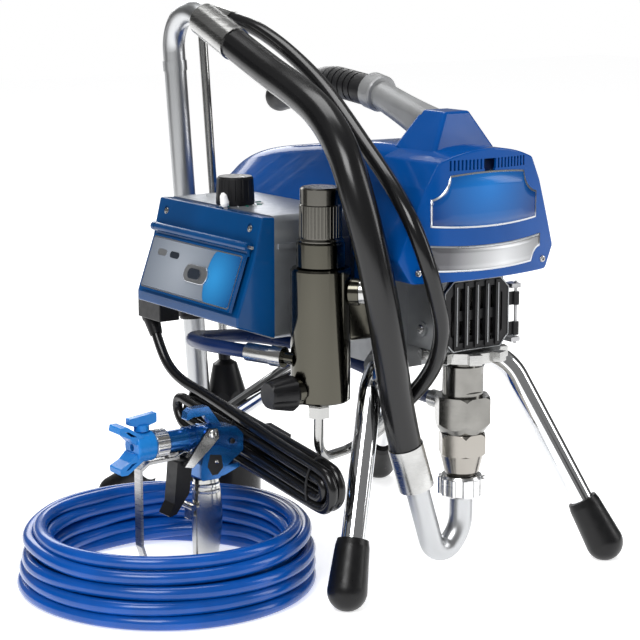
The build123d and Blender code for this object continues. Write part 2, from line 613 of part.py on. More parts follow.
def fix_inlet(body):
    """Drilling for the hose from the pump, in the block at the lower left."""
    start, end = WHIP_ENDS["filter"]
    return body - rod(start, along(start, end, -0.5), 4)


def make_outlet():
    start, end = OUTLET_FACE, OUTLET_END
    nipple = rod(along(start, end, 0.02), along(start, end, 0.35), 11)
    nipple += rod(along(start, end, 0.3), end, OUTLET_R)
    nipple -= rod(along(start, end, -0.1), along(start, end, 1.2), 4.2)
    save("outlet_nipple", nipple)


def make_hose_fittings():
    lower, upper, drain_top, drain_low = make_ferrules()
    parts = [lower, upper, drain_top, drain_low]
    for start, end in WHIP_ENDS.values():
        fitting = rod(start, along(start, end, 0.32), 9.5)
        fitting += rod(along(start, end, 0.3), end, 8.4)
        fitting -= rod(along(start, end, -0.1), along(start, end, 0.6), 4)
        parts.append(fitting)
    save("hose_ferrules", Compound(parts))


def make_prime_knob():
    x = FILTER_X - 31.4
    knob = turned([(0, 0), (15.5, 0), (17, 3), (16, 8), (12.6, 24), (11, 26), (0, 26)],
                  (x, FILTER_Y, PRIME_Z), (-1, 0, 0))
    for i in range(6):
        flute = rod((x + 1, 19.2, 0), (x - 27, 16, 0), 5)
        knob -= Pos(0, FILTER_Y, PRIME_Z) * Rot(60 * i + 30, 0, 0) * flute
    knob += rod((x, FILTER_Y, PRIME_Z), (x + 24, FILTER_Y, PRIME_Z), 5)
    save("prime_knob", knob)


def make_sensor():
    x, y, z = FILTER_X + 44, FILTER_Y + 4.8, 252
    body = turned([(0, 0), (9.6, 0), (9.6, 6), (8.4, 7), (8.4, 20), (7, 22), (0, 22)], (x, y, z), (0, 1, 0))
    save("pressure_sensor", body)


# ---- control box ----
def box_profile(inset):
    points = [(BOX_OUT, 337 - inset), (-170 + inset, 338 - inset), (-176 + inset, 314), (-179 + inset, 300),
              (-197 + inset, 250), (-197 + inset, 241 + inset), (BOX_OUT, 227 + inset)]
    face = make_face(Polyline(*points, close=True))
    return Plane(origin=(0, BOX_REAR - inset, 0), x_dir=(1, 0, 0), z_dir=(0, -1, 0)) * face


def make_control_cover():
    length = BOX_REAR - BOX_FRONT
    outer = extrude(box_profile(0), length)
    outer = eased(outer, outer.edges().filter_by(lambda e: e.center().X < BOX_OUT - 4), 2, 1)
    inner = extrude(box_profile(3), length - 6)
    shell = outer - inner
    shell -= block((BOX_OUT - 6, BOX_OUT + 1), (BOX_FRONT + 3, BOX_REAR - 3), (233, 333))
    door_seat = door_form(1.2, 0.8)
    shell -= door_seat
    shell -= rod((HINGE_X, DOOR_FRONT - 1, HINGE_Z), (HINGE_X, DOOR_REAR + 1, HINGE_Z), HINGE_R + 0.5)
    for y in (DOOR_FRONT - 6, DOOR_REAR + 1):
        knuckle = rod((HINGE_X, y, HINGE_Z), (HINGE_X, y + 5, HINGE_Z), HINGE_R)
        web = block((HINGE_X, -174), (y, y + 5), (HINGE_Z - 4, HINGE_Z + 4))
        shell += knuckle + web
    shell -= rod((HINGE_X, BOX_FRONT - 3, HINGE_Z), (HINGE_X, BOX_REAR + 3, HINGE_Z), 1.5)
    for y in (BOX_FRONT + 16, BOX_REAR - 16):
        spot = (-171.5, y, 327)
        shell -= rod(spot, (-180, y, 329), 4)
    shell -= block((TOGGLE_X - 5, TOGGLE_X + 5), (TOGGLE_Y - 3, TOGGLE_Y + 3), (BOX_TOP - 6, BOX_TOP + 3))
    save("control_cover", shell)


def door_form(grow, lift):
    """The flap: a flat panel that hangs from the hinge, leaning outwards at the bottom."""
    top, low = (-181.0, 305.0), (-199.5, 253.0)
    way = Vector(low[0] - top[0], 0, low[1] - top[1]).normalized()
    out = Vector(way.Z, 0, -way.X)
    mid = Vector((top[0] + low[0]) / 2, (DOOR_FRONT + DOOR_REAR) / 2, (top[1] + low[1]) / 2)
    plane = Plane(origin=mid + out * (1.5 - lift), x_dir=(0, 1, 0), z_dir=out)
    panel = Box(DOOR_REAR - DOOR_FRONT + 2 * grow, 54 + 2 * grow, 3 + 2 * lift)
    return plane * panel


def make_door():
    door = door_form(0, 0)
    door += block((HINGE_X - 1.5, HINGE_X + 1.5), (DOOR_FRONT, DOOR_REAR), (303, HINGE_Z))
    door += rod((HINGE_X, DOOR_FRONT, HINGE_Z), (HINGE_X, DOOR_REAR, HINGE_Z), HINGE_R)
    door -= rod((HINGE_X, DOOR_FRONT - 1, HINGE_Z), (HINGE_X, DOOR_REAR + 1, HINGE_Z), 1.5 + RUN_FIT)
    save("control_door", door)


def make_pins():
    door_pin = rod((HINGE_X, DOOR_FRONT - 6, HINGE_Z), (HINGE_X, DOOR_REAR + 6, HINGE_Z), 1.5)
    guard_pin = rod((GUARD_HINGE_X, GUARD_Y, 216), (GUARD_HINGE_X, GUARD_Y, 274), 1.5)
    lugs = []
    for z in (218, 268):
        lug = block((BEARING_X, GUARD_HINGE_X + 3.4), (GUARD_Y - 3, BEARING_FRONT + 4), (z, z + 4))
        lugs.append(lug - rod((GUARD_HINGE_X, GUARD_Y, z - 1), (GUARD_HINGE_X, GUARD_Y, z + 5), 1.5))
    save("hinge_pins", Compound([door_pin, guard_pin] + lugs))


def make_control_housing():
    body = block((BOX_OUT, BOX_IN), (BOX_FRONT, BOX_REAR), (BOX_LOW, BOX_TOP))
    body = eased(body, body.edges().filter_by(lambda e: e.center().X > BOX_OUT + 5), 6, 4)
    body += block((BOX_OUT + 4, BOX_IN - 6), (BOX_FRONT - 1.5, BOX_FRONT + 2), (308, 313))
    body -= block((BOX_OUT - 1, BOX_IN - 5), (BOX_FRONT + 4, BOX_REAR - 4), (BOX_LOW + 4, BOX_TOP - 5))
    body += block((BOX_IN - 1, -HOUSING_X), (-72, -62), (250, 310))
    body -= rod((KNOB_X, KNOB_Y, BOX_TOP - 6), (KNOB_X, KNOB_Y, BOX_TOP + 3), 4 + RUN_FIT)
    save("control_housing", body)
    board = block((-148, -90), (-60, 88), (250, 252))
    for x, y, size in ((-130, -30, 16), (-105, 20, 20), (-135, 50, 12)):
        board += block((x - size / 2, x + size / 2), (y - size, y + size), (251.5, 268))
    for y in (-56, 84):
        for x in (-140, -98):
            board += rod((x, y, BOX_LOW + 4), (x, y, 250.5), 3)
    save("control_board", board)


def make_controls():
    z = BOX_TOP + FREE_GAP
    knob = turned([(0, 0), (17.6, 0), (18.2, 1), (18, 6), (17, 24), (15.6, 26), (0, 26)], (KNOB_X, KNOB_Y, z))
    for i in range(18):
        flute = rod((18.4, 0, z + 4), (17.6, 0, z + 27), 1.1)
        knob -= Pos(KNOB_X, KNOB_Y, 0) * Rot(0, 0, 20 * i) * flute
    knob += rod((KNOB_X, KNOB_Y, BOX_TOP - 12), (KNOB_X, KNOB_Y, z + 2), 4)
    save("pressure_knob", knob)
    tilt = Pos(TOGGLE_X, TOGGLE_Y, BOX_TOP - 3) * Rot(0, TOGGLE_REST, 0)
    lever = Cylinder(1.8, 8, align=(Align.CENTER, Align.CENTER, Align.MIN))
    boot = turned([(0, 5), (3.4, 5), (4.2, 8), (3.2, 15), (1.5, 17.5), (0, 17.5)], (0, 0, 0))
    ball = Sphere(2.4)
    pivot = Rot(90, 0, 0) * Cylinder(1.3, 5.4)
    save("power_toggle", tilt * (lever + boot + ball + pivot))


# ---- power cord ----
def make_cord():
    start, second = Vector(*CORD_ROUTE[0]), Vector(*CORD_ROUTE[1])
    way = (second - start).normalized()
    gland = turned([(0, 0), (9, 0), (9, 6), (8, 8), (6.2, 24), (0, 24)], tuple(start - way * 24), tuple(way))
    gland += block((-183, -161), (86, 128), (219, 240))
    gland = eased(gland, gland.edges().filter_by(lambda e: e.center().Z > 218 and e.length > 18), 3, 1)
    gland -= extrude(box_profile(0), BOX_REAR - BOX_FRONT)
    save("cord_gland", gland)
    hose("power_cord", CORD_ROUTE, CORD_R)
    a, b = Vector(*HANK_A), Vector(*HANK_B)
    plane = Plane(origin=(a + b) / 2, x_dir=(b - a), z_dir=(b - a).cross(Vector(0, 0, 1)))
    long = (b - a).length
    hank = extrude(plane * SlotOverall(long, 46), 11, both=True)
    hank = eased(hank, hank.edges(), 6, 4)
    save("cord_hank", hank)
    plug_at = plane * Pos(-long * 0.02, -2, -22)
    plug = plug_at * (Box(34, 26, 19) + Pos(22, 0, 0) * Rot(0, 90, 0) * Cylinder(7, 16))
    plug = eased(plug, plug.edges().filter_by(lambda e: e.length > 15), 3, 1.5)
    for y in (-6.4, 6.4):
        plug += plug_at * Pos(-24, y, 2) * Box(18, 1.5, 6.3)
    plug += plug_at * Pos(-26, 0, -4) * Rot(0, 90, 0) * Cylinder(2.4, 20)
    save("power_plug", plug)


# ---- spray gun ----
def flat_part(points, thickness, fillets=None):
    """A plate in the gun's mid plane: points are (x, z) from the swivel's centre line, at the floor."""
    face = make_face(Polyline(*points, close=True))
    if fillets:
        face = fillet(face.vertices(), fillets)
    plane = Plane(origin=(GUN_X, GUN_Y, 0), x_dir=(1, 0, 0), z_dir=(0, -1, 0))
    return extrude(plane * face, thickness / 2, both=True)


def gun_rod(start, end, radius):
    (x1, z1), (x2, z2) = start, end
    return rod((GUN_X + x1, GUN_Y, z1), (GUN_X + x2, GUN_Y, z2), radius)


def make_gun_body():
    body = gun_rod((-45, BARREL_Z), (8, BARREL_Z), 10)
    body += flat_part([(-8, 143), (24, 140), (32, 132), (32, 116), (14, 104), (6, 93), (-14, 93), (-13, 108),
                       (-10, 122)], 20, 2.5)
    body += flat_part([(4, 102), (30, 104), (31, 100), (14, 94), (0, 93)], 12, 0.8)
    body += flat_part([(-26, 150), (-24, 158), (-20, 161), (-2, 161), (16, 136), (10, 132), (-6, 153), (-18, 153)],
                      9, 1.2)
    body -= gun_rod((-60, BARREL_Z), (-10, BARREL_Z), 4)
    pivot = rod((GUN_X - 2, GUN_Y - 13, 137), (GUN_X - 2, GUN_Y + 13, 137), 3)
    body += pivot
    save("gun_body", body)


def make_gun_handle():
    grip = loft([Pos(GUN_X - 4, GUN_Y, 18) * Ellipse(12, 10), Pos(GUN_X - 2, GUN_Y, 50) * Ellipse(15, 11.5),
                 Pos(GUN_X - 3, GUN_Y, 92.8) * Ellipse(12, 9.5)])
    grip -= rod((GUN_X - 4, GUN_Y, 10), (GUN_X - 2, GUN_Y, 80), 6)
    swivel = hex_prism(10.5, 9, 18, GUN_X - 4, GUN_Y) + rod((GUN_X - 4, GUN_Y, 0), (GUN_X - 4, GUN_Y, 9), SWIVEL_R)
    swivel -= rod((GUN_X - 4, GUN_Y, -1), (GUN_X - 4, GUN_Y, 19), 3.5)
    save("gun_handle", Compound([grip, swivel]))


def make_trigger():
    lever = flat_part([(-33, 110), (-24, 108), (4, 132), (3, 141), (-6, 142), (-12, 136)], 26, 1.5)
    lever -= flat_part([(-60, 100), (20, 100), (20, 160), (-60, 160)], 21)
    lever -= rod((GUN_X - 2, GUN_Y - 20, 137), (GUN_X - 2, GUN_Y + 20, 137), 3 + RUN_FIT)
    blade = flat_part([(-38, 115), (-22, 115), (-26, 84), (-40, 66), (-49, 64), (-42, 76)], 18, 1.2)
    lever += flat_part([(-34, 112), (-24, 110), (-23, 114), (-34, 115)], 26)
    save("gun_trigger", lever + blade)


def make_trigger_guard():
    outer = [(-34, 119), (-66, 118), (-75, 112), (-75, 40), (-67, 16), (-15, 10), (-15, 12.4), (-65, 18.4),
             (-72.6, 41), (-72.6, 110.6), (-65, 115.6), (-34, 116.6)]
    strip = flat_part(outer, 11)
    strip += flat_part([(-44.5, 117), (-34, 117), (-34, 122.9), (-44.5, 122.9)], 8)
    save("trigger_guard", strip)


def make_trigger_lock():
    lock = flat_part([(-24, 72), (-19, 72), (-19.5, 58), (-24.5, 57)], 6, 1)
    lock += rod((GUN_X - 21.5, GUN_Y - 9, 69), (GUN_X - 21.5, GUN_Y + 9, 69), 3)
    save("trigger_lock", lock)


def make_gun_front():
    ring = gun_rod((-60, BARREL_Z), (-46, BARREL_Z), 13)
    ring = chamfer(ring.edges(), 1.2) - gun_rod((-61, BARREL_Z), (-45, BARREL_Z), 7 + RUN_FIT)
    for i in range(16):
        flute = rod((GUN_X - 61, 13.5, 0), (GUN_X - 45, 13.5, 0), 1)
        ring -= Pos(0, GUN_Y, BARREL_Z) * Rot(22.5 * i, 0, 0) * flute
    ring += gun_rod((-46.5, BARREL_Z), (-45, BARREL_Z), 9.9) - gun_rod((-50, BARREL_Z), (-40, BARREL_Z), 4)
    save("collar_nut", ring)
    guard = gun_rod((-80, BARREL_Z), (-60.4, BARREL_Z), 14)
    guard = eased(guard, guard.edges(), 2, 1)
    for sign in (1, -1):
        wing = flat_part([(-72, sign * 10), (-90, sign * 22), (-97, sign * 22), (-98, sign * 16),
                          (-88, sign * 11), (-81, sign * 4)], 20, 1.5)
        hole = flat_part([(-80, sign * 11.5), (-88, sign * 17), (-92, sign * 18), (-86, sign * 12.5)], 30)
        guard += Pos(0, 0, BARREL_Z) * (wing - hole)
    guard += gun_rod((-61, BARREL_Z), (-48, BARREL_Z), 6.9)
    guard -= gun_rod((-120, BARREL_Z), (-46, BARREL_Z), 3.5)
    guard -= rod((GUN_X - 70, GUN_Y, BARREL_Z - 15), (GUN_X - 70, GUN_Y, BARREL_Z + 15), 4 + RUN_FIT)
    save("tip_guard", guard)
    tip = rod((GUN_X - 70, GUN_Y, BARREL_Z - 13), (GUN_X - 70, GUN_Y, BARREL_Z + 19), 4)
    tip += rod((GUN_X - 70, GUN_Y, BARREL_Z + 14.4), (GUN_X - 70, GUN_Y, BARREL_Z + 20), 7)
    tip += flat_part([(-84, 154), (-84, 160), (-56, 163), (-56, 154), (-66, 151.5), (-74, 151.5)], 7, 1.2)
    tip -= gun_rod((-90, BARREL_Z), (-50, BARREL_Z), 1.6)
    save("spray_tip", tip)


# ---- hose coil ----
def make_coil():
    ring = rod((COIL_X, COIL_Y, 0), (COIL_X, COIL_Y, COIL_H), COIL_R)
    ring -= rod((EYE_X, EYE_Y, -1), (EYE_X, EYE_Y, COIL_H + 1), EYE_R)
    ring = fillet(ring.edges(), 5)
    save("hose_coil", ring)
    ends = []
    for start, end in COUPLINGS:
        nut = Plane(origin=start, z_dir=Vector(*end) - Vector(*start)) * extrude(RegularPolygon(10, 6), 12)
        nut += rod(along(start, end, 0.3), end, 8)
        ends.append(nut - rod(along(start, end, -0.1), along(start, end, 0.8), 3.2))
    save("hose_couplings", Compound(ends))


make_cradle()
make_legs()
make_feet()
make_motor()
make_shroud()
make_gears()
make_drive_housing()
make_bearing_housing()
make_pump_drive()
make_pump()
make_clamp_nut()
make_intake()
make_swivel_nut()
make_suction_line()
make_strainer()
make_drain_line()
make_tube_bracket()
make_front_cover()
make_handle()
make_guard()
make_filter()
make_outlet()
make_hose_fittings()
make_prime_knob()
make_sensor()
make_control_cover()
make_door()
make_pins()
make_control_housing()
make_controls()
make_cord()
make_gun_body()
make_gun_handle()
make_trigger()
make_trigger_guard()
make_trigger_lock()
make_gun_front()
make_coil()
hose("suction_hose", SUCTION_ROUTE, SUCTION_HOSE_R)
hose("drain_hose", DRAIN_ROUTE, DRAIN_HOSE_R)
hose("whip_hose", WHIP_ROUTE, WHIP_R)
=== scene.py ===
import bpy
import math
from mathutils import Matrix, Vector


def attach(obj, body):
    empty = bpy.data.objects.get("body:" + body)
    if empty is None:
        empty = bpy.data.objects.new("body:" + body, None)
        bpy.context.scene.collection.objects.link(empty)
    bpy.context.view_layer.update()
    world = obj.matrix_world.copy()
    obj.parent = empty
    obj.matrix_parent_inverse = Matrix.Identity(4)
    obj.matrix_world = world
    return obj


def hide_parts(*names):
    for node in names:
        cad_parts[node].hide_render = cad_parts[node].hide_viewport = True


# The looks of a stand-mounted airless paint sprayer, built round its CAD frame.

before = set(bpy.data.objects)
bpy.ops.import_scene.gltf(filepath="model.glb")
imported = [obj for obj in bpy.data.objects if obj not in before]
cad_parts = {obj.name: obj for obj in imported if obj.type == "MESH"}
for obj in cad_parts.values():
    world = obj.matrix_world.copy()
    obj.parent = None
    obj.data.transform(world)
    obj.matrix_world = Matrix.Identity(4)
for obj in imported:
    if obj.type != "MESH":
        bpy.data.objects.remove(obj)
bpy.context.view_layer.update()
scene = bpy.context.scene

# The CAD is drawn in millimetres from the stand's centre line; the frame's origin is the footprint's centre.
FOOTPRINT_X, FOOTPRINT_Y = -71.0, 8.0
MM = 0.001


def at(x, y, z):
    """A point in stand millimetres, in the frame's metres."""
    return Vector(((x - FOOTPRINT_X) * MM, (y - FOOTPRINT_Y) * MM, z * MM))


# ---- camera, lights, floor ----
CAMERA_PLACE = (-1112, -1509, 579)
CAMERA_TILT, CAMERA_TURN = 79, -35
CAMERA_LENS = 109.7
STUDIO_TARGET = (0, 0, 0.2)
WORLD_LIGHT = 0.42       # what the pale room gives; the camera sees it as white
WORLD_SHINE = 0.2        # how bright the room is in reflections, low enough to keep dark pieces dark
FLOOR_GLOW = 0.62        # lifts the floor to the same white as the background
FLOOR_HALF = 6.0
FLOOR_DROP = 0.0005      # keeps the floor just under the feet


def add_camera():
    data = bpy.data.cameras.new("camera")
    data.sensor_width = 36
    data.lens = CAMERA_LENS
    camera = bpy.data.objects.new("camera", data)
    camera.location = at(*CAMERA_PLACE)
    camera.rotation_euler = (math.radians(CAMERA_TILT), 0, math.radians(CAMERA_TURN))
    scene.collection.objects.link(camera)
    scene.camera = camera


def aim_at_target(item, place):
    item.location = place
    item.rotation_euler = (Vector(STUDIO_TARGET) - Vector(place)).to_track_quat("-Z", "Y").to_euler()
    scene.collection.objects.link(item)


def sheet_mesh(name, w, h, shade, roughness):
    """A flat rectangle with half sides w and h, and the shader of its one plain material."""
    mesh = bpy.data.meshes.new(name)
    corners = [(-w, -h, 0), (w, -h, 0), (w, h, 0), (-w, h, 0)]
    mesh.from_pydata(corners, [], [(0, 1, 2, 3)])
    material = bpy.data.materials.new(name)
    material.use_nodes = True
    shader = material.node_tree.nodes["Principled BSDF"]
    shader.inputs["Base Color"].default_value = (*shade, 1)
    shader.inputs["Roughness"].default_value = roughness
    mesh.materials.append(material)
    return mesh, shader


def add_light(name, place, size, power):
    data = bpy.data.lights.new(name, "AREA")
    data.shape = "RECTANGLE"
    data.size, data.size_y = size
    data.energy = power
    aim_at_target(bpy.data.objects.new(name, data), place)


def add_card(name, place, size, shade):
    """A dark card out of sight, which gives bright metal something to reflect."""
    mesh, _ = sheet_mesh(name, size[0] / 2, size[1] / 2, (shade, shade, shade), 0.9)
    card = bpy.data.objects.new(name, mesh)
    aim_at_target(card, place)
    card.visible_camera = False
    card.visible_shadow = False


def add_floor():
    mesh, shader = sheet_mesh("floor", FLOOR_HALF, FLOOR_HALF, (0.93, 0.93, 0.935), 0.6)
    shader.inputs["Specular IOR Level"].default_value = 0.2
    shader.inputs["Emission Color"].default_value = (1, 1, 1, 1)
    shader.inputs["Emission Strength"].default_value = FLOOR_GLOW
    floor = bpy.data.objects.new("floor", mesh)
    floor.location.z = -FLOOR_DROP
    scene.collection.objects.link(floor)


def add_world():
    """A white room: full white to the camera, softer as light, and dim in reflections."""
    world = bpy.data.worlds.new("studio")
    world.use_nodes = True
    tree = world.node_tree
    sky = tree.nodes["Background"]
    sky.inputs["Color"].default_value = (1, 1, 1, 1)
    rays = tree.nodes.new("ShaderNodeLightPath")
    shine = tree.nodes.new("ShaderNodeMapRange")
    shine.inputs["To Min"].default_value = WORLD_LIGHT
    shine.inputs["To Max"].default_value = WORLD_SHINE
    level = tree.nodes.new("ShaderNodeMapRange")
    level.inputs["To Max"].default_value = 1.0
    tree.links.new(rays.outputs["Is Glossy Ray"], shine.inputs["Value"])
    tree.links.new(shine.outputs["Result"], level.inputs["To Min"])
    tree.links.new(rays.outputs["Is Camera Ray"], level.inputs["Value"])
    tree.links.new(level.outputs["Result"], sky.inputs["Strength"])
    scene.world = world


def add_studio():
    add_camera()
    scene.view_settings.view_transform = "Standard"
    add_world()
    add_floor()
    add_light("key", (-1.6, -1.1, 2.0), (1.1, 1.1), 36)
    add_light("fill", (1.9, -1.5, 1.2), (0.7, 1.6), 15)
    add_light("top", (0.1, 0.4, 2.4), (1.6, 1.0), 24)
    add_light("rim", (0.6, 2.0, 1.2), (1.6, 0.7), 16)
    add_card("card_left", (-1.5, 1.2, 0.5), (1.2, 1.4), 0.02)
    add_card("card_right", (1.5, 0.1, 0.4), (0.9, 1.4), 0.02)
    add_card("card_front", (0.2, -2.1, 0.15), (0.7, 0.9), 0.03)


# ---- cords ----
SUCTION_ROUTE = [
    (-66, -150, 130), (-79, -153, 172), (-92, -161, 218), (-104, -165, 266), (-113, -161, 312),
    (-119, -149, 358), (-119, -128, 398), (-116, -92, 428), (-113, -45, 446), (-110.5, 6, 461.5),
    (-110, 62, 483),
]
DRAIN_ROUTE = [
    (-70, 128, 503), (-68, 100, 499), (-64, 62, 485), (-61, 22, 465), (-64, -18, 446),
    (-71, -62, 422), (-78, -106, 396), (-83, -148, 370), (-84, -180, 340), (-78, -194, 306),
    (-65, -192, 272), (-54, -187, 242), (-48, -174, 216), (-46, -158, 194), (-52, -139, 171),
    (-64, -121, 150),
]
WHIP_ROUTE = [
    (-174.4, -55.7, 214), (-185, -30, 214.8), (-188, 0, 213.5), (-181, 31, 211), (-163, 57, 207),
    (-133, 71, 202), (-99, 80, 198), (-65, 76, 192), (-36, 57, 184), (-14, 27, 176),
    (-4, -10, 168), (-2, -46, 161), (0, -77, 157.5), (0, -106, 157),
]
CORD_ROUTE = [
    (-172, 112, 202), (-172, 101, 184), (-171, 85, 170), (-168, 64, 161), (-162, 44, 156),
]
HANK_A, HANK_B = Vector((-155, 100, 136)), Vector((-150, -168, 99))
# The folded cord's loops: half height, half length, and how far out of the middle plane.
HANK_LOOPS = [(18.0, 130.0, 5.3), (8.4, 117.0, 5.3), (8.4, 120.0, -5.3), (18.0, 127.0, -5.3)]
HANK_FOLD = (58, 20, -20, -58)
HANK_SAG = 0.9
SUCTION_R, DRAIN_R, WHIP_R, CORD_R, SPRAY_HOSE_R = 15.2, 7.5, 6.4, 5.0, 6.35
COIL_CENTRE, COIL_R = Vector((-241, -22, 0)), 139.0
COIL_NEAR = math.radians(235)      # where the ring is widest
COIL_START = math.radians(20)
COIL_STEPS = 24
SLOT_CHANGE = 0.8                  # the share of a turn after which the hose moves to its next slot
LAST_TURN = 0.84                   # the share of the last turn that is still part of the ring
HOSE_START = (-141, 92, 9.5)


def place_piece(name, data, body):
    piece = bpy.data.objects.new(name, data)
    scene.collection.objects.link(piece)
    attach(piece, body)
    return piece


def round_curve(name, kind, points, radius, material, roundness):
    """A round curve with one spline; points are in stand millimetres."""
    curve = bpy.data.curves.new(name, "CURVE")
    curve.dimensions = "3D"
    spline = curve.splines.new(kind)
    spline.points.add(len(points) - 1)
    for control, point in zip(spline.points, points):
        control.co = (*at(*point), 1)
    curve.bevel_depth = radius * MM
    curve.bevel_resolution = roundness
    curve.use_fill_caps = True
    curve.materials.append(material)
    return curve, spline


def curve_piece(name, points, radius, material):
    """A hose or cord along one smooth line."""
    curve, spline = round_curve(name, "NURBS", points, radius, material, 8)
    spline.order_u = 3
    spline.use_endpoint_u = True
    curve.resolution_u = 8
    return place_piece(name, curve, "stand")


def line_length(piece):
    """The length of a curve piece's centreline, in metres."""
    bare = piece.data.copy()
    bare.bevel_depth = 0
    holder = bpy.data.objects.new("measure", bare)
    scene.collection.objects.link(holder)
    mesh = bpy.data.meshes.new_from_object(holder)
    points = [v.co for v in mesh.vertices]
    total = sum((b - a).length for a, b in zip(points, points[1:]))
    bpy.data.objects.remove(holder)
    bpy.data.meshes.remove(mesh)
    return total


def hank_place(x, z, layer):
    """A point in the plane of the folded cord: along it to the front, up, and out towards the gun."""
    mid = (HANK_A + HANK_B) / 2
    along = (HANK_B - HANK_A).normalized()
    across = along.cross(Vector((0, 0, 1))).normalized()
    up = across.cross(along)
    return mid + along * x + up * z + across * layer


def hank_loop(height, half_length, turn):
    """One loop of the folded cord as (along, up): the top run, the front fold, the low run, the rear fold."""
    straight = half_length - height
    fold = [math.radians(angle) for angle in HANK_FOLD]
    runs = [-straight, -straight / 3, straight / 3, straight]
    top = [(x, height + HANK_SAG * math.sin(x / 37 + 2 * turn)) for x in runs]
    front = [(straight + height * math.cos(angle), height * math.sin(angle)) for angle in fold]
    low = [(x, -height + HANK_SAG * math.sin(x / 41 + turn)) for x in reversed(runs)]
    rear = [(-straight - height * math.cos(angle), height * math.sin(angle)) for angle in reversed(fold)]
    return top, front, low, rear


def power_cord_points():
    """The lead from the box, then four loose loops, then the tail to the plug behind them."""
    points = [Vector(p) for p in CORD_ROUTE]
    last = len(HANK_LOOPS) - 1
    for turn, (height, half, layer) in enumerate(HANK_LOOPS):
        top, front, low, rear = hank_loop(height, half, turn)
        if turn == 0:
            top = top[2:]
        if turn == last:
            low, rear = low[:1], []
        points += [hank_place(x, z, layer) for x, z in top + front + low]
        after = HANK_LOOPS[min(turn + 1, last)]
        for index, (x, z) in enumerate(rear):
            share = (index + 1) / (len(HANK_FOLD) + 1)
            grown = 1 + (after[0] / height - 1) * share
            points.append(hank_place(x, z * grown, layer + (after[2] - layer) * share))
    tail = [(88, -15, -10), (68, -10, -16), (50, -5, -20.5), (38, -2, -22), (25, -2, -22)]
    return points + [hank_place(*spot) for spot in tail]


def coil_slots():
    """Where each turn of the spray hose lies, near the front and at the back: (in from the edge, height)."""
    near = [
        (7, 6.4), (23, 6.4), (36, 8), (9, 18.6), (13, 30.6),
        (27, 19.6), (30, 32), (36, 44.4), (23, 54.2), (17, 42.6),
    ]
    columns, rows = (6.4, 18.6), (6.4, 18.4, 30.4, 42.4, 53.6)
    order = [(0, 0), (1, 0), (1, 1), (0, 1), (0, 2), (1, 2), (0, 3), (1, 3), (1, 4), (0, 4)]
    far = [(columns[column], rows[row]) for column, row in order]
    return near, far


def coil_point(slot_near, slot_far, angle):
    """A point on the coil at an angle, counted from the +X side; the ring is widest at its near side."""
    blend = (1 - math.cos(angle - COIL_NEAR)) / 2
    inset = slot_near[0] + (slot_far[0] - slot_near[0]) * blend
    height = slot_near[1] + (slot_far[1] - slot_near[1]) * blend
    loose = 1.3 * math.sin(3 * angle + inset) - 0.4
    way = Vector((math.cos(angle), math.sin(angle), 0))
    return COIL_CENTRE + way * (COIL_R - inset + loose) + Vector((0, 0, height))


def between(start, end, share):
    return [a + (b - a) * share for a, b in zip(start, end)]


def spray_hose_points():
    near, far = coil_slots()
    last = len(near) - 1
    points = [Vector(HOSE_START), Vector((-129, 79, 9)), Vector((-117, 60, 8))]
    for turn in range(last + 1):
        after = min(turn + 1, last)
        for step in range(COIL_STEPS):
            gone = step / COIL_STEPS
            if turn == last and gone > LAST_TURN:
                break
            share = max(0.0, (gone - SLOT_CHANGE) / (1 - SLOT_CHANGE))
            slot_near = between(near[turn], near[after], share)
            slot_far = between(far[turn], far[after], share)
            points.append(coil_point(slot_near, slot_far, COIL_START - 2 * math.pi * gone))
    tail = [(-170, 101, 51), (-146, 90, 41), (-125, 74, 31), (-108, 55, 22), (-96, 38, 13), (-90, 20, 9.5)]
    return points + [Vector(p) for p in tail]


def make_fixed_hoses():
    """The three hoses that are held at both ends."""
    black = (0.005, 0.005, 0.0055)
    hoses = [
        ("suction_hose_run", "suction_hose", SUCTION_ROUTE, SUCTION_R, "hose_black", 0.49, 0.0304, "stiff",
         hose_rubber("hose_black_smooth", black, 0.24)),
        ("drain_hose_run", "drain_hose", DRAIN_ROUTE, DRAIN_R, "hose_black", 0.57, 0.015, "medium",
         hose_rubber("hose_black_gloss", black, 0.2)),
        ("whip_hose_run", "whip_hose", WHIP_ROUTE, WHIP_R, "hose_navy", 0.43, 0.0128, "stiff",
         hose_rubber("hose_navy_smooth", (0.004, 0.018, 0.085), 0.3)),
    ]
    for name, node, route, radius, slot, length, diameter, stiffness, rubber in hoses:
        hose = curve_piece(name, route, radius, rubber)
        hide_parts(node)


def make_cords():
    make_fixed_hoses()
    sheath = hose_rubber("cord_sheath", (0.005, 0.005, 0.0055), 0.24)
    lead = curve_piece("power_lead", power_cord_points(), CORD_R, sheath)
    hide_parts("power_cord", "cord_hank")
    round(line_length(lead), 2)
    blue = hose_rubber("hose_blue_smooth", (0.001, 0.066, 0.32), 0.2)
    hose = curve_piece("spray_hose", spray_hose_points(), SPRAY_HOSE_R, blue)
    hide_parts("hose_coil")
    round(line_length(hose), 2)


# ---- materials ----
NOISE_LOW, NOISE_HIGH = 0.3, 0.7   # the middle band of a noise, which holds nearly all of its values


def new_material(name, colour, metallic, roughness):
    material = bpy.data.materials.new(name)
    material.use_nodes = True
    shader = material.node_tree.nodes["Principled BSDF"]
    shader.inputs["Base Color"].default_value = (*colour, 1)
    shader.inputs["Metallic"].default_value = metallic
    shader.inputs["Roughness"].default_value = roughness
    return material, material.node_tree, shader


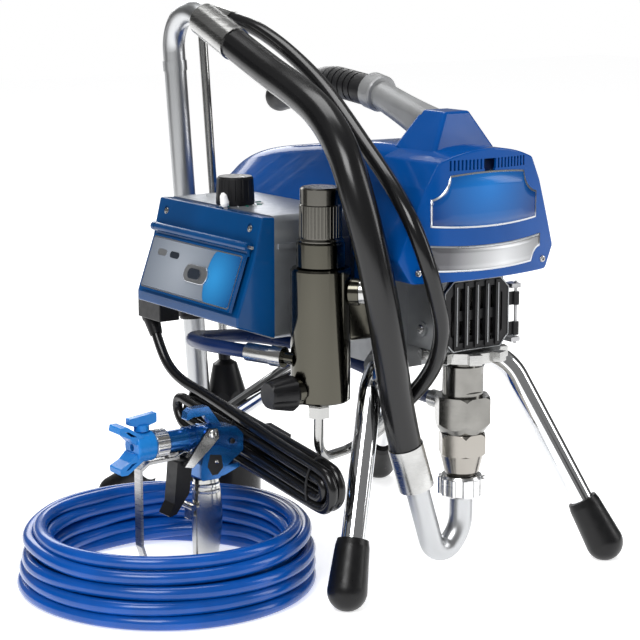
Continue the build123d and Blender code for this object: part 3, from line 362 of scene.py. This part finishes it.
def object_noise(tree, scale, detail=3.0, stretch=(1, 1, 1)):
    """Noise in the object's own metres, stretched along an axis where a tool has left marks."""
    place = tree.nodes.new("ShaderNodeTexCoord")
    mapping = tree.nodes.new("ShaderNodeMapping")
    mapping.inputs["Scale"].default_value = stretch
    noise = tree.nodes.new("ShaderNodeTexNoise")
    noise.inputs["Scale"].default_value = scale
    noise.inputs["Detail"].default_value = detail
    tree.links.new(place.outputs["Object"], mapping.inputs["Vector"])
    tree.links.new(mapping.outputs["Vector"], noise.inputs["Vector"])
    return noise.outputs["Fac"]


def spread(tree, factor, low, high):
    """A noise turned into a number from low to high."""
    node = tree.nodes.new("ShaderNodeMapRange")
    node.inputs["From Min"].default_value = NOISE_LOW
    node.inputs["From Max"].default_value = NOISE_HIGH
    node.inputs["To Min"].default_value = low
    node.inputs["To Max"].default_value = high
    tree.links.new(factor, node.inputs["Value"])
    return node.outputs["Result"]


def tint(tree, factor, dark, light):
    """A noise turned into a colour from dark to light."""
    node = tree.nodes.new("ShaderNodeValToRGB")
    for element, place, colour in zip(node.color_ramp.elements, (NOISE_LOW, NOISE_HIGH), (dark, light)):
        element.position = place
        element.color = (*colour, 1)
    tree.links.new(factor, node.inputs["Fac"])
    return node.outputs["Color"]


def relief(tree, shader, factor, strength, depth):
    node = tree.nodes.new("ShaderNodeBump")
    node.inputs["Strength"].default_value = strength
    node.inputs["Distance"].default_value = depth
    tree.links.new(factor, node.inputs["Height"])
    tree.links.new(node.outputs["Normal"], shader.inputs["Normal"])


def scaled(colour, share):
    return tuple(min(1.0, c * share) for c in colour)


def clouded(tree, shader, noise, colour, low, high):
    """The base colour, drifting between two shares of itself."""
    tree.links.new(tint(tree, noise, scaled(colour, low), scaled(colour, high)), shader.inputs["Base Color"])


def smeared(tree, shader, noise, low, high):
    tree.links.new(spread(tree, noise, low, high), shader.inputs["Roughness"])


def surface(shader, specular, coat, coat_roughness):
    shader.inputs["Specular IOR Level"].default_value = specular
    shader.inputs["Coat Weight"].default_value = coat
    shader.inputs["Coat Roughness"].default_value = coat_roughness


def gloss_plastic(name, colour, roughness):
    """Moulded plastic: a clear shine over a faint orange-peel skin and thin dust."""
    material, tree, shader = new_material(name, colour, 0, roughness)
    clouded(tree, shader, object_noise(tree, 14, 4), colour, 0.88, 1.12)
    smeared(tree, shader, object_noise(tree, 90, 6), roughness * 0.7, roughness * 1.5)
    relief(tree, shader, object_noise(tree, 420, 2), 0.02, 0.0003)
    surface(shader, 0.17, 0.12, 0.04)
    return material


def matte_plastic(name, colour, roughness, grain=900):
    """Dull plastic or rubber with a moulded grain."""
    material, tree, shader = new_material(name, colour, 0, roughness)
    clouded(tree, shader, object_noise(tree, 30, 5), colour, 0.8, 1.3)
    smeared(tree, shader, object_noise(tree, 160, 4), roughness * 0.8, roughness * 1.2)
    relief(tree, shader, object_noise(tree, grain, 3), 0.25, 0.0003)
    shader.inputs["Specular IOR Level"].default_value = 0.3
    return material


def hose_rubber(name, colour, roughness):
    """Extruded hose: faint clouding, an even shine and a very fine skin."""
    material, tree, shader = new_material(name, colour, 0, roughness)
    clouded(tree, shader, object_noise(tree, 22, 5), colour, 0.85, 1.2)
    smeared(tree, shader, object_noise(tree, 40, 3), roughness * 0.9, roughness * 1.12)
    relief(tree, shader, object_noise(tree, 1500, 2), 0.03, 0.0002)
    surface(shader, 0.4, 0.1, 0.12)
    return material


def plated(name, colour, roughness, smudge):
    """Bright plating with faint smears and a very slight ripple."""
    material, tree, shader = new_material(name, colour, 1, roughness)
    smeared(tree, shader, object_noise(tree, 28, 6, (1, 1, 0.4)), roughness, roughness + smudge)
    clouded(tree, shader, object_noise(tree, 11, 3), colour, 0.93, 1)
    relief(tree, shader, object_noise(tree, 60, 2), 0.006, 0.0003)
    return material


def turned_metal(name, colour, roughness):
    """Machined metal: fine tool lines round the axis, with stains between them."""
    material, tree, shader = new_material(name, colour, 1, roughness)
    lines = object_noise(tree, 8, 3, (6, 6, 240))
    smeared(tree, shader, lines, roughness * 0.75, roughness * 1.35)
    clouded(tree, shader, object_noise(tree, 45, 5), colour, 0.82, 1.1)
    relief(tree, shader, lines, 0.12, 0.0002)
    return material


def cast_metal(name, colour, roughness, metallic=0.75):
    """Die casting: a fine sandy skin, slightly cloudy."""
    material, tree, shader = new_material(name, colour, metallic, roughness)
    clouded(tree, shader, object_noise(tree, 18, 6), colour, 0.82, 1.12)
    smeared(tree, shader, object_noise(tree, 120, 5), roughness * 0.8, roughness * 1.25)
    relief(tree, shader, object_noise(tree, 750, 3), 0.35, 0.0003)
    return material


def metallic_paint(name, colour, roughness):
    """Flake paint under a clear coat."""
    material, tree, shader = new_material(name, colour, 0.75, roughness)
    flake = tree.nodes.new("ShaderNodeTexVoronoi")
    flake.inputs["Scale"].default_value = 2600
    place = tree.nodes.new("ShaderNodeTexCoord")
    tree.links.new(place.outputs["Object"], flake.inputs["Vector"])
    clouded(tree, shader, flake.outputs["Distance"], colour, 1.35, 0.75)
    relief(tree, shader, object_noise(tree, 500, 3), 0.12, 0.0003)
    shader.inputs["Coat Weight"].default_value = 0.7
    shader.inputs["Coat Roughness"].default_value = 0.08
    return material


def paint_node(node, material):
    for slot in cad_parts[node].material_slots:
        slot.material = material


def dress_cad():
    """Every CAD part that stays visible gets the finish of the real piece."""
    finishes = [
        (gloss_plastic("blue_cover_gloss", (0.001, 0.062, 0.27), 0.15), ["motor_shroud", "front_cover"]),
        (gloss_plastic("blue_box_gloss", (0.001, 0.048, 0.165), 0.18), ["control_cover", "control_door"]),
        (cast_metal("cast_grey_skin", (0.33, 0.34, 0.35), 0.4),
         ["stand_cradle", "drive_housing", "bearing_housing"]),
        (cast_metal("box_casting", (0.33, 0.35, 0.38), 0.36), ["control_housing"]),
        (cast_metal("arm_silver_skin", (0.34, 0.345, 0.35), 0.42, 0.45), ["handle_arm"]),
        (matte_plastic("grip_rubber_skin", (0.008, 0.008, 0.009), 0.42), ["handle_grip"]),
        (matte_plastic("foot_rubber_skin", (0.005, 0.005, 0.0055), 0.34, 500), ["rubber_feet"]),
        (plated("leg_chrome_skin", (0.86, 0.87, 0.88), 0.05, 0.06), ["front_legs", "rear_legs"]),
        (plated("tube_satin_skin", (0.52, 0.53, 0.54), 0.3, 0.06), ["suction_elbow", "suction_tube"]),
        (turned_metal("swivel_alloy", (0.70, 0.70, 0.70), 0.22), ["swivel_nut"]),
        (plated("drain_steel", (0.42, 0.42, 0.41), 0.14, 0.06), ["drain_tubes"]),
        (turned_metal("pump_steel", (0.24, 0.235, 0.22), 0.18),
         ["pump_cylinder", "displacement_rod", "connecting_rod"]),
        (turned_metal("gear_steel", (0.40, 0.40, 0.41), 0.35),
         ["idler_gear", "crank_gear", "motor_can", "hinge_pins"]),
        (turned_metal("rotor_steel", (0.30, 0.26, 0.23), 0.45), ["motor_rotor"]),
        (plated("nickel_warm", (0.36, 0.34, 0.31), 0.16, 0.1), ["intake_valve"]),
        (plated("nickel_dark_skin", (0.09, 0.086, 0.07), 0.11, 0.04), ["filter_body"]),
        (plated("nickel_cap", (0.14, 0.135, 0.12), 0.14, 0.05), ["filter_cap"]),
        (turned_metal("zinc_skin", (0.50, 0.50, 0.49), 0.22),
         ["clamp_nut", "hose_ferrules", "outlet_nipple", "pressure_sensor", "hose_couplings"]),
        (turned_metal("mesh_skin", (0.6, 0.6, 0.6), 0.3), ["filter_element"]),
        (matte_plastic("black_moulded", (0.006, 0.006, 0.007), 0.36),
         ["inlet_strainer", "tube_bracket", "drain_deflector", "pump_guard", "prime_knob", "pressure_knob",
          "cord_gland", "power_plug", "gun_trigger"]),
        (gloss_plastic("black_vessel", (0.01, 0.01, 0.011), 0.2), ["drip_cup"]),
        (matte_plastic("white_boot_skin", (0.80, 0.80, 0.78), 0.4), ["power_toggle"]),
        (matte_plastic("packing", (0.7, 0.66, 0.55), 0.5), ["pump_seals"]),
        (matte_plastic("board_skin", (0.03, 0.16, 0.07), 0.4), ["control_board"]),
        (metallic_paint("gun_blue_skin", (0.006, 0.13, 0.42), 0.24), ["gun_body"]),
        (plated("gun_chrome_skin", (0.55, 0.55, 0.53), 0.17, 0.08), ["gun_handle", "trigger_lock"]),
        (turned_metal("guard_strip", (0.45, 0.45, 0.45), 0.3), ["trigger_guard"]),
        (turned_metal("collar_silver", (0.68, 0.68, 0.67), 0.22), ["collar_nut"]),
        (gloss_plastic("tip_blue_skin", (0.012, 0.19, 0.56), 0.26), ["tip_guard", "spray_tip"]),
    ]
    for material, nodes in finishes:
        for node in nodes:
            paint_node(node, material)


# ---- small pieces ----
def mesh_piece(name, verts, faces, material, body, smooth=False):
    mesh = bpy.data.meshes.new(name)
    mesh.from_pydata([tuple(v) for v in verts], [], faces)
    mesh.update()
    mesh.materials.append(material)
    if smooth:
        mesh.shade_smooth()
    piece = place_piece(name, mesh, body)
    return piece


def thicken(piece, amount, bevel=0.0):
    """Gives a sheet its thickness, and softens its edges."""
    solid = piece.modifiers.new("thickness", "SOLIDIFY")
    solid.thickness = amount * MM
    solid.offset = -1
    if bevel:
        soft = piece.modifiers.new("edge", "BEVEL")
        soft.width = bevel * MM
        soft.segments = 2
        soft.limit_method = "ANGLE"


def graded(name, centre, inner, outer, reach, metallic=0.0, roughness=0.2):
    """A printed label: one colour at a point in stand millimetres, fading into another around it."""
    material, tree, shader = new_material(name, inner, metallic, roughness)
    place = tree.nodes.new("ShaderNodeTexCoord")
    away = tree.nodes.new("ShaderNodeVectorMath")
    away.operation = "DISTANCE"
    away.inputs[1].default_value = at(*centre)
    tree.links.new(place.outputs["Object"], away.inputs[0])
    ramp = tree.nodes.new("ShaderNodeMapRange")
    ramp.inputs["From Max"].default_value = reach * MM
    tree.links.new(away.outputs["Value"], ramp.inputs["Value"])
    ramp.inputs["To Min"].default_value = NOISE_LOW
    ramp.inputs["To Max"].default_value = NOISE_HIGH
    tree.links.new(tint(tree, ramp.outputs["Result"], inner, outer), shader.inputs["Base Color"])
    relief(tree, shader, object_noise(tree, 700, 2), 0.02, 0.0002)
    surface(shader, 0.25, 0.1, 0.05)
    return material


# ---- the front cover's labels ----
COVER_BOW_R, COVER_BOW_Y = 260.0, 76.0
LABEL_HALF, LABEL_TOP, LABEL_CROWN, LABEL_LOW = 61, 374.5, 4.5, 329
STRIP_HALF, STRIP_TOP, STRIP_LOW = 68, 313, 290
LABEL_SAG, STRIP_LOW_SAG = 0.0008, 0.0006    # how fast a level edge rises away from the middle
LABEL_SCALLOP_R, STRIP_SCALLOP_R = 18, 12
LABEL_BORDER, BORDER_LIFT, PRINT_LIFT, LABEL_THICK = 1.6, 0.3, 0.6, 0.5


def cover_front(x):
    """The Y of the cover's bowed front at x."""
    return COVER_BOW_Y - math.sqrt(COVER_BOW_R ** 2 - x ** 2)


def cover_label(name, half, top, low, lift, material):
    """A label that follows the bowed front of the cover; top and low give its edges at each x."""
    columns, rows = 72, 4
    verts = []
    for i in range(columns + 1):
        x = -half + 2 * half * i / columns
        for k in range(rows + 1):
            z = low(x) + (top(x) - low(x)) * k / rows
            verts.append(at(x, cover_front(x) - lift, z))
    faces = []
    for i in range(columns):
        for k in range(rows):
            a = i * (rows + 1) + k
            faces.append((a, a + rows + 1, a + rows + 2, a + 1))
    piece = mesh_piece(name, verts, faces, material, "stand", smooth=True)
    thicken(piece, LABEL_THICK)


def scallop(x, corner, radius):
    """How far a hollow corner cuts in at x: 0 inside it, the radius at the corner."""
    reach = max(0.0, radius - (corner - abs(x)))
    return math.sqrt(max(0.0, radius ** 2 - (radius - reach) ** 2)) if reach else 0.0


def label_edges(inset):
    """The upper label's top and low edges: a crowned top with hollow corners over a sagging edge."""
    def top(x):
        crown = LABEL_CROWN * (1 - (x / LABEL_HALF) ** 2)
        return LABEL_TOP - inset + crown - scallop(x, LABEL_HALF - inset, LABEL_SCALLOP_R)

    def low(x):
        return LABEL_LOW + inset + LABEL_SAG * x * x
    return top, low


def strip_edges(inset):
    """The lower strip's top and low edges, with hollow corners at the bottom."""
    def top(x):
        return STRIP_TOP - inset + LABEL_SAG * x * x

    def low(x):
        return STRIP_LOW + inset + STRIP_LOW_SAG * x * x + scallop(x, STRIP_HALF - inset, STRIP_SCALLOP_R)
    return top, low


def make_cover_labels():
    silver = plated("label_border", (0.80, 0.83, 0.86), 0.25, 0.1)
    upper = graded("label_blue", (0, -186, 368), (0.01, 0.16, 0.50), (0.002, 0.035, 0.17), 66)
    lower = graded("label_silver", (18, -186, 296), (0.66, 0.67, 0.68), (0.13, 0.13, 0.14), 62, 0.4, 0.3)
    for name, half, edges, skin in (("cover_label", LABEL_HALF, label_edges, upper),
                                    ("cover_strip", STRIP_HALF, strip_edges, lower)):
        cover_label(f"{name}_border", half, *edges(0), BORDER_LIFT, silver)
        cover_label(name, half - LABEL_BORDER, *edges(LABEL_BORDER), PRINT_LIFT, skin)


# ---- the door's label ----
DOOR_MID = Vector((-190.25, 12, 279))
DOOR_OUT = Vector((-0.942, 0, 0.335))
DOOR_UP = Vector((0.335, 0, 0.942))
DOOR_FACE = 3.0
DOOR_WAVE_Y, DOOR_WAVE_R, DOOR_PRINT_HALF = -25, 9, 23.6    # the bulging edge between grey and blue


def door_place(y, up, lift):
    return DOOR_MID + DOOR_OUT * (DOOR_FACE + lift) + DOOR_UP * up + Vector((0, y - DOOR_MID.y, 0))


def door_plate(name, outline, lift, amount, material, bevel=0.0):
    """A thin plate on the flap; the outline is (y, height above the flap's middle)."""
    verts = [at(*door_place(y, up, lift)) for y, up in outline]
    piece = mesh_piece(name, verts, [tuple(range(len(verts)))], material, "label_door")
    if (verts[1] - verts[0]).cross(verts[2] - verts[1]).dot(DOOR_OUT) < 0:
        piece.data.flip_normals()
    thicken(piece, amount, bevel)


def rounded(y_low, y_high, low, high, radius):
    """A rounded rectangle as (y, up) points."""
    steps = 6
    right, left, top, bottom = y_high - radius, y_low + radius, high - radius, low + radius
    points = []
    for turn, (y, up) in enumerate(((right, top), (left, top), (left, bottom), (right, bottom))):
        for i in range(steps + 1):
            angle = math.radians(90 * turn + 90 * i / steps)
            points.append((y + radius * math.cos(angle), up + radius * math.sin(angle)))
    return points


def door_wave():
    """The grey panel's bulging edge."""
    angles = [math.radians(a) for a in range(-90, 91, 15)]
    return [(DOOR_WAVE_Y + DOOR_WAVE_R * math.cos(a), DOOR_PRINT_HALF * math.sin(a)) for a in angles]


def make_door_label():
    silver = plated("door_border", (0.78, 0.80, 0.83), 0.25, 0.1)
    blue = graded("door_blue", (-200, -30, 282), (0.03, 0.28, 0.62), (0.003, 0.035, 0.15), 48)
    grey = graded("door_grey", (-200, 30, 282), (0.42, 0.46, 0.52), (0.14, 0.17, 0.22), 80, 0.3, 0.3)
    dark = gloss_plastic("door_pill_dark", (0.02, 0.025, 0.035), 0.2)
    door_plate("door_label_border", rounded(-65.5, 89.5, -25, 25, 3), 0.4, 0.4, silver)
    door_plate("door_label_blue", rounded(-64.3, 88.3, -23.8, 23.8, 2.2), 0.7, 0.4, blue)
    rear = [(87.6, DOOR_PRINT_HALF), (87.6, -DOOR_PRINT_HALF)]
    door_plate("door_label_grey", rear + door_wave(), 1.0, 0.4, grey)
    door_plate("door_latch_plate", rounded(-21, 19, -10, 7, 8.4), 2.4, 1.6, silver, 0.5)
    door_plate("door_latch_button", rounded(-9, 11, -6.5, 3.5, 4.9), 3.3, 1.4, dark, 0.4)
    for index, (y, skin) in enumerate(((44, dark), (66, silver))):
        door_plate(f"door_print_{index}", rounded(y - 8, y + 8, 8, 14, 2.8), 1.3, 0.3, skin)


# ---- fasteners, beads and ties ----
def ring_curve(name, points, radius, material, body, closed=True):
    """A thin bead in straight runs between the points."""
    curve, spline = round_curve(name, "POLY", points, radius, material, 3)
    spline.use_cyclic_u = closed
    place_piece(name, curve, body)


def disc_piece(name, centre, axis, profile, material, body, sides=32):
    """A turned piece: the profile is (radius, height) along the axis from the centre."""
    axis = Vector(axis).normalized()
    side = axis.orthogonal().normalized()
    other = axis.cross(side)
    verts, faces = [], []
    for radius, height in profile:
        for i in range(sides):
            angle = 2 * math.pi * i / sides
            way = side * math.cos(angle) + other * math.sin(angle)
            verts.append(at(*(Vector(centre) + axis * height + way * radius)))
    for ring in range(len(profile) - 1):
        for i in range(sides):
            a, b = ring * sides + i, ring * sides + (i + 1) % sides
            faces.append((a, b, b + sides, a + sides))
    faces.append(tuple(reversed(range(sides))))
    faces.append(tuple(range((len(profile) - 1) * sides, len(profile) * sides)))
    piece = mesh_piece(name, verts, faces, material, body, smooth=True)
    soft = piece.modifiers.new("edge", "EDGE_SPLIT")
    soft.split_angle = math.radians(40)


def screw(name, centre, axis, radius, body, material):
    """A domed screw head with a driver recess."""
    profile = [(radius, 0), (radius, 0.8), (radius * 0.86, 1.6), (radius * 0.5, 1.9), (radius * 0.46, 0.7)]
    disc_piece(name, centre, axis, profile, material, body, 24)


def make_fasteners():
    steel = turned_metal("screw_steel", (0.5, 0.5, 0.5), 0.25)
    for index, y in enumerate((-58, 88)):
        screw(f"box_screw_{index}", (-171.5, y, 326), (-0.97, 0, 0.24), 3.4, "stand", steel)
    for index, z in enumerate((232, 286)):
        screw(f"bearing_bolt_{index}", (-38, -135, z), (-1, 0, 0), 4.5, "stand", steel)
    for index, x in enumerate((-72, 72)):
        screw(f"cover_screw_{index}", (x, cover_front(x), 292), (0, -1, 0), 3.2, "stand", steel)


GUARD_FACE_Y, GUARD_RIBS, GUARD_RIB_X, GUARD_RIB_PITCH = -172.3, 5, -27, 12


def make_guard_edge_highlights():
    """Painted highlights: a light bead round the guard's outer edge and down its ribs, where the black guard
    catches the light.
    """
    # The light grey plating is a painted highlight along the guard's edges, not a part of the guard.
    highlight_skin = plated("guard_painted_highlight", (0.34, 0.35, 0.36), 0.3, 0.1)
    outer = [(-40, 226), (-40, 270), (-30, 280), (24, 280), (34, 270), (34, 226), (24, 216), (-30, 216)]
    edge = [(x, GUARD_FACE_Y, z) for x, z in outer]
    ring_curve("guard_edge_highlight", edge, 0.7, highlight_skin, "rod_guard")
    for index in range(GUARD_RIBS):
        x = GUARD_RIB_X + GUARD_RIB_PITCH * index
        bead = [(x, GUARD_FACE_Y - 1.4, z) for z in (221, 275)]
        ring_curve(f"guard_rib_highlight_{index}", bead, 0.6, highlight_skin, "rod_guard", False)


TIE_UP, TIE_OUT, TIE_SIDES = 24.3, 11.6, 24


def make_hank_tie():
    """Two ties round the folded cord, near its front fold and behind its middle."""
    tie = matte_plastic("tie_black", (0.012, 0.012, 0.013), 0.4)
    half_long = (HANK_B - HANK_A).length / 2
    for index, share in enumerate((0.72, -0.2)):
        loop = []
        for i in range(TIE_SIDES):
            angle = 2 * math.pi * i / TIE_SIDES
            loop.append(hank_place(half_long * share, TIE_UP * math.sin(angle), TIE_OUT * math.cos(angle)))
        ring_curve(f"hank_tie_{index}", loop, 1.1, tie, "stand")


KNOB_X, KNOB_Y, KNOB_TOP, BOX_TOP = -140, 17, 364.6, 338.6
SCALE_R, SCALE_MARKS, SCALE_FIRST, SCALE_STEP = 21, 9, 200, 22


def make_knob_marks():
    """The scale beside the pressure knob, and the knob's pointer."""
    green = matte_plastic("scale_green", (0.02, 0.22, 0.16), 0.4)
    pale = matte_plastic("pointer_pale", (0.75, 0.76, 0.76), 0.4)
    for index in range(SCALE_MARKS):
        angle = math.radians(SCALE_FIRST + SCALE_STEP * index)
        way = Vector((math.cos(angle), math.sin(angle), 0))
        start = Vector((KNOB_X, KNOB_Y, BOX_TOP)) + way * SCALE_R
        mark = [start, start + way * (3 + 0.4 * index)]
        skin = green if index % 2 else pale
        ring_curve(f"scale_mark_{index}", mark, 0.5, skin, "stand", False)
    pointer = [(KNOB_X, KNOB_Y - 15.5, KNOB_TOP), (KNOB_X, KNOB_Y - 7, KNOB_TOP)]
    ring_curve("knob_pointer", pointer, 0.7, pale, "dial", False)


# ---- the spray gun ----
GUN_X, GUN_Y, BARREL_Z = -198.0, -24.0, 133.0


def gun_plate(name, outline, side, thickness, material, body, bevel=0.6):
    """A plate on one flank of the gun: the outline is (x, z) from the handle's centre line."""
    y = GUN_Y + side
    verts = [at(GUN_X + x, y, z) for x, z in outline]
    piece = mesh_piece(name, verts, [tuple(range(len(verts)))], material, body)
    if piece.data.polygons[0].normal.y * side < 0:
        piece.data.flip_normals()
    thicken(piece, thickness, bevel)


def band(base, proud, low, high, chamfer):
    """The profile of a raised band between two heights."""
    return [(base, low), (proud, low + chamfer), (proud, high - chamfer), (base, high)]


def make_gun_plates(paint, dark):
    flank = [(-6, 124), (6, 124), (18, 118), (25, 121), (27, 130), (18, 136), (4, 139), (-6, 140)]
    window = [(-2, 97), (4, 97), (10, 103), (8, 115), (-4, 117), (-7, 106)]
    for index, side in enumerate((-10.3, 10.3)):
        gun_plate(f"gun_flank_{index}", flank, side, 1.4, paint, "gun")
        gun_plate(f"gun_window_{index}", window, side * 0.995, 0.9, dark, "gun", 0.3)


def make_gun_screws(bright, dark):
    screws = [
        ("pivot", -2, 13.1, 137, 4.2, bright, "gun_chrome"),
        ("body", 19, 11.5, 127, 2.6, dark, "steel_plain"),
        ("rear", 2, 10.6, 110, 2.2, bright, "gun_chrome"),
    ]
    for index, side in enumerate((-1, 1)):
        for part, x, out, z, radius, skin, slot in screws:
            place = (GUN_X + x, GUN_Y + out * side, z)
            screw(f"gun_{part}_screw_{index}", place, (0, side, 0), radius, "gun", skin)


def make_gun_details():
    """Barrel rings, side plates, screws, the trigger's lever arms, neck bands and guard wires."""
    paint = metallic_paint("gun_side_blue", (0.004, 0.09, 0.33), 0.22)
    bright = plated("gun_lever_bright", (0.72, 0.72, 0.71), 0.16, 0.08)
    dark = matte_plastic("gun_dark", (0.015, 0.015, 0.016), 0.4)
    rings = band(10.1, 11.4, 0, 4, 0.6) + band(10.1, 11.2, 8, 12, 0.6)
    muzzle = (GUN_X - 14, GUN_Y, BARREL_Z)
    disc_piece("gun_barrel_rings", muzzle, (-1, 0, 0), rings, paint, "gun")
    make_gun_plates(paint, dark)
    make_gun_screws(bright, dark)
    lever = [(-33, 110), (-24, 108), (4, 132), (3, 141), (-6, 142), (-12, 136)]
    for index, side in enumerate((-13.1, 13.1)):
        gun_plate(f"trigger_arm_{index}", lever, side, 0.7, bright, "trigger", 0.3)
    neck = band(12.3, 12.9, 0, 3, 0.5)
    for index, z in enumerate((86, 80)):
        place = (GUN_X - 3, GUN_Y, z)
        disc_piece(f"gun_neck_band_{index}", place, (0, 0, 1), neck, bright, "gun")
    wire = [(-40, 120), (-31, 123.5), (-22, 121.5), (-14, 122.5)]
    for index, side in enumerate((-8.6, 8.6)):
        line = [(GUN_X + x, GUN_Y + side, z) for x, z in wire]
        ring_curve(f"gun_wire_{index}", line, 0.9, bright, "gun", False)


add_studio()
make_cords()
dress_cad()
make_cover_labels()
make_door_label()
make_fasteners()
make_guard_edge_highlights()
make_hank_tie()
make_knob_marks()
make_gun_details()
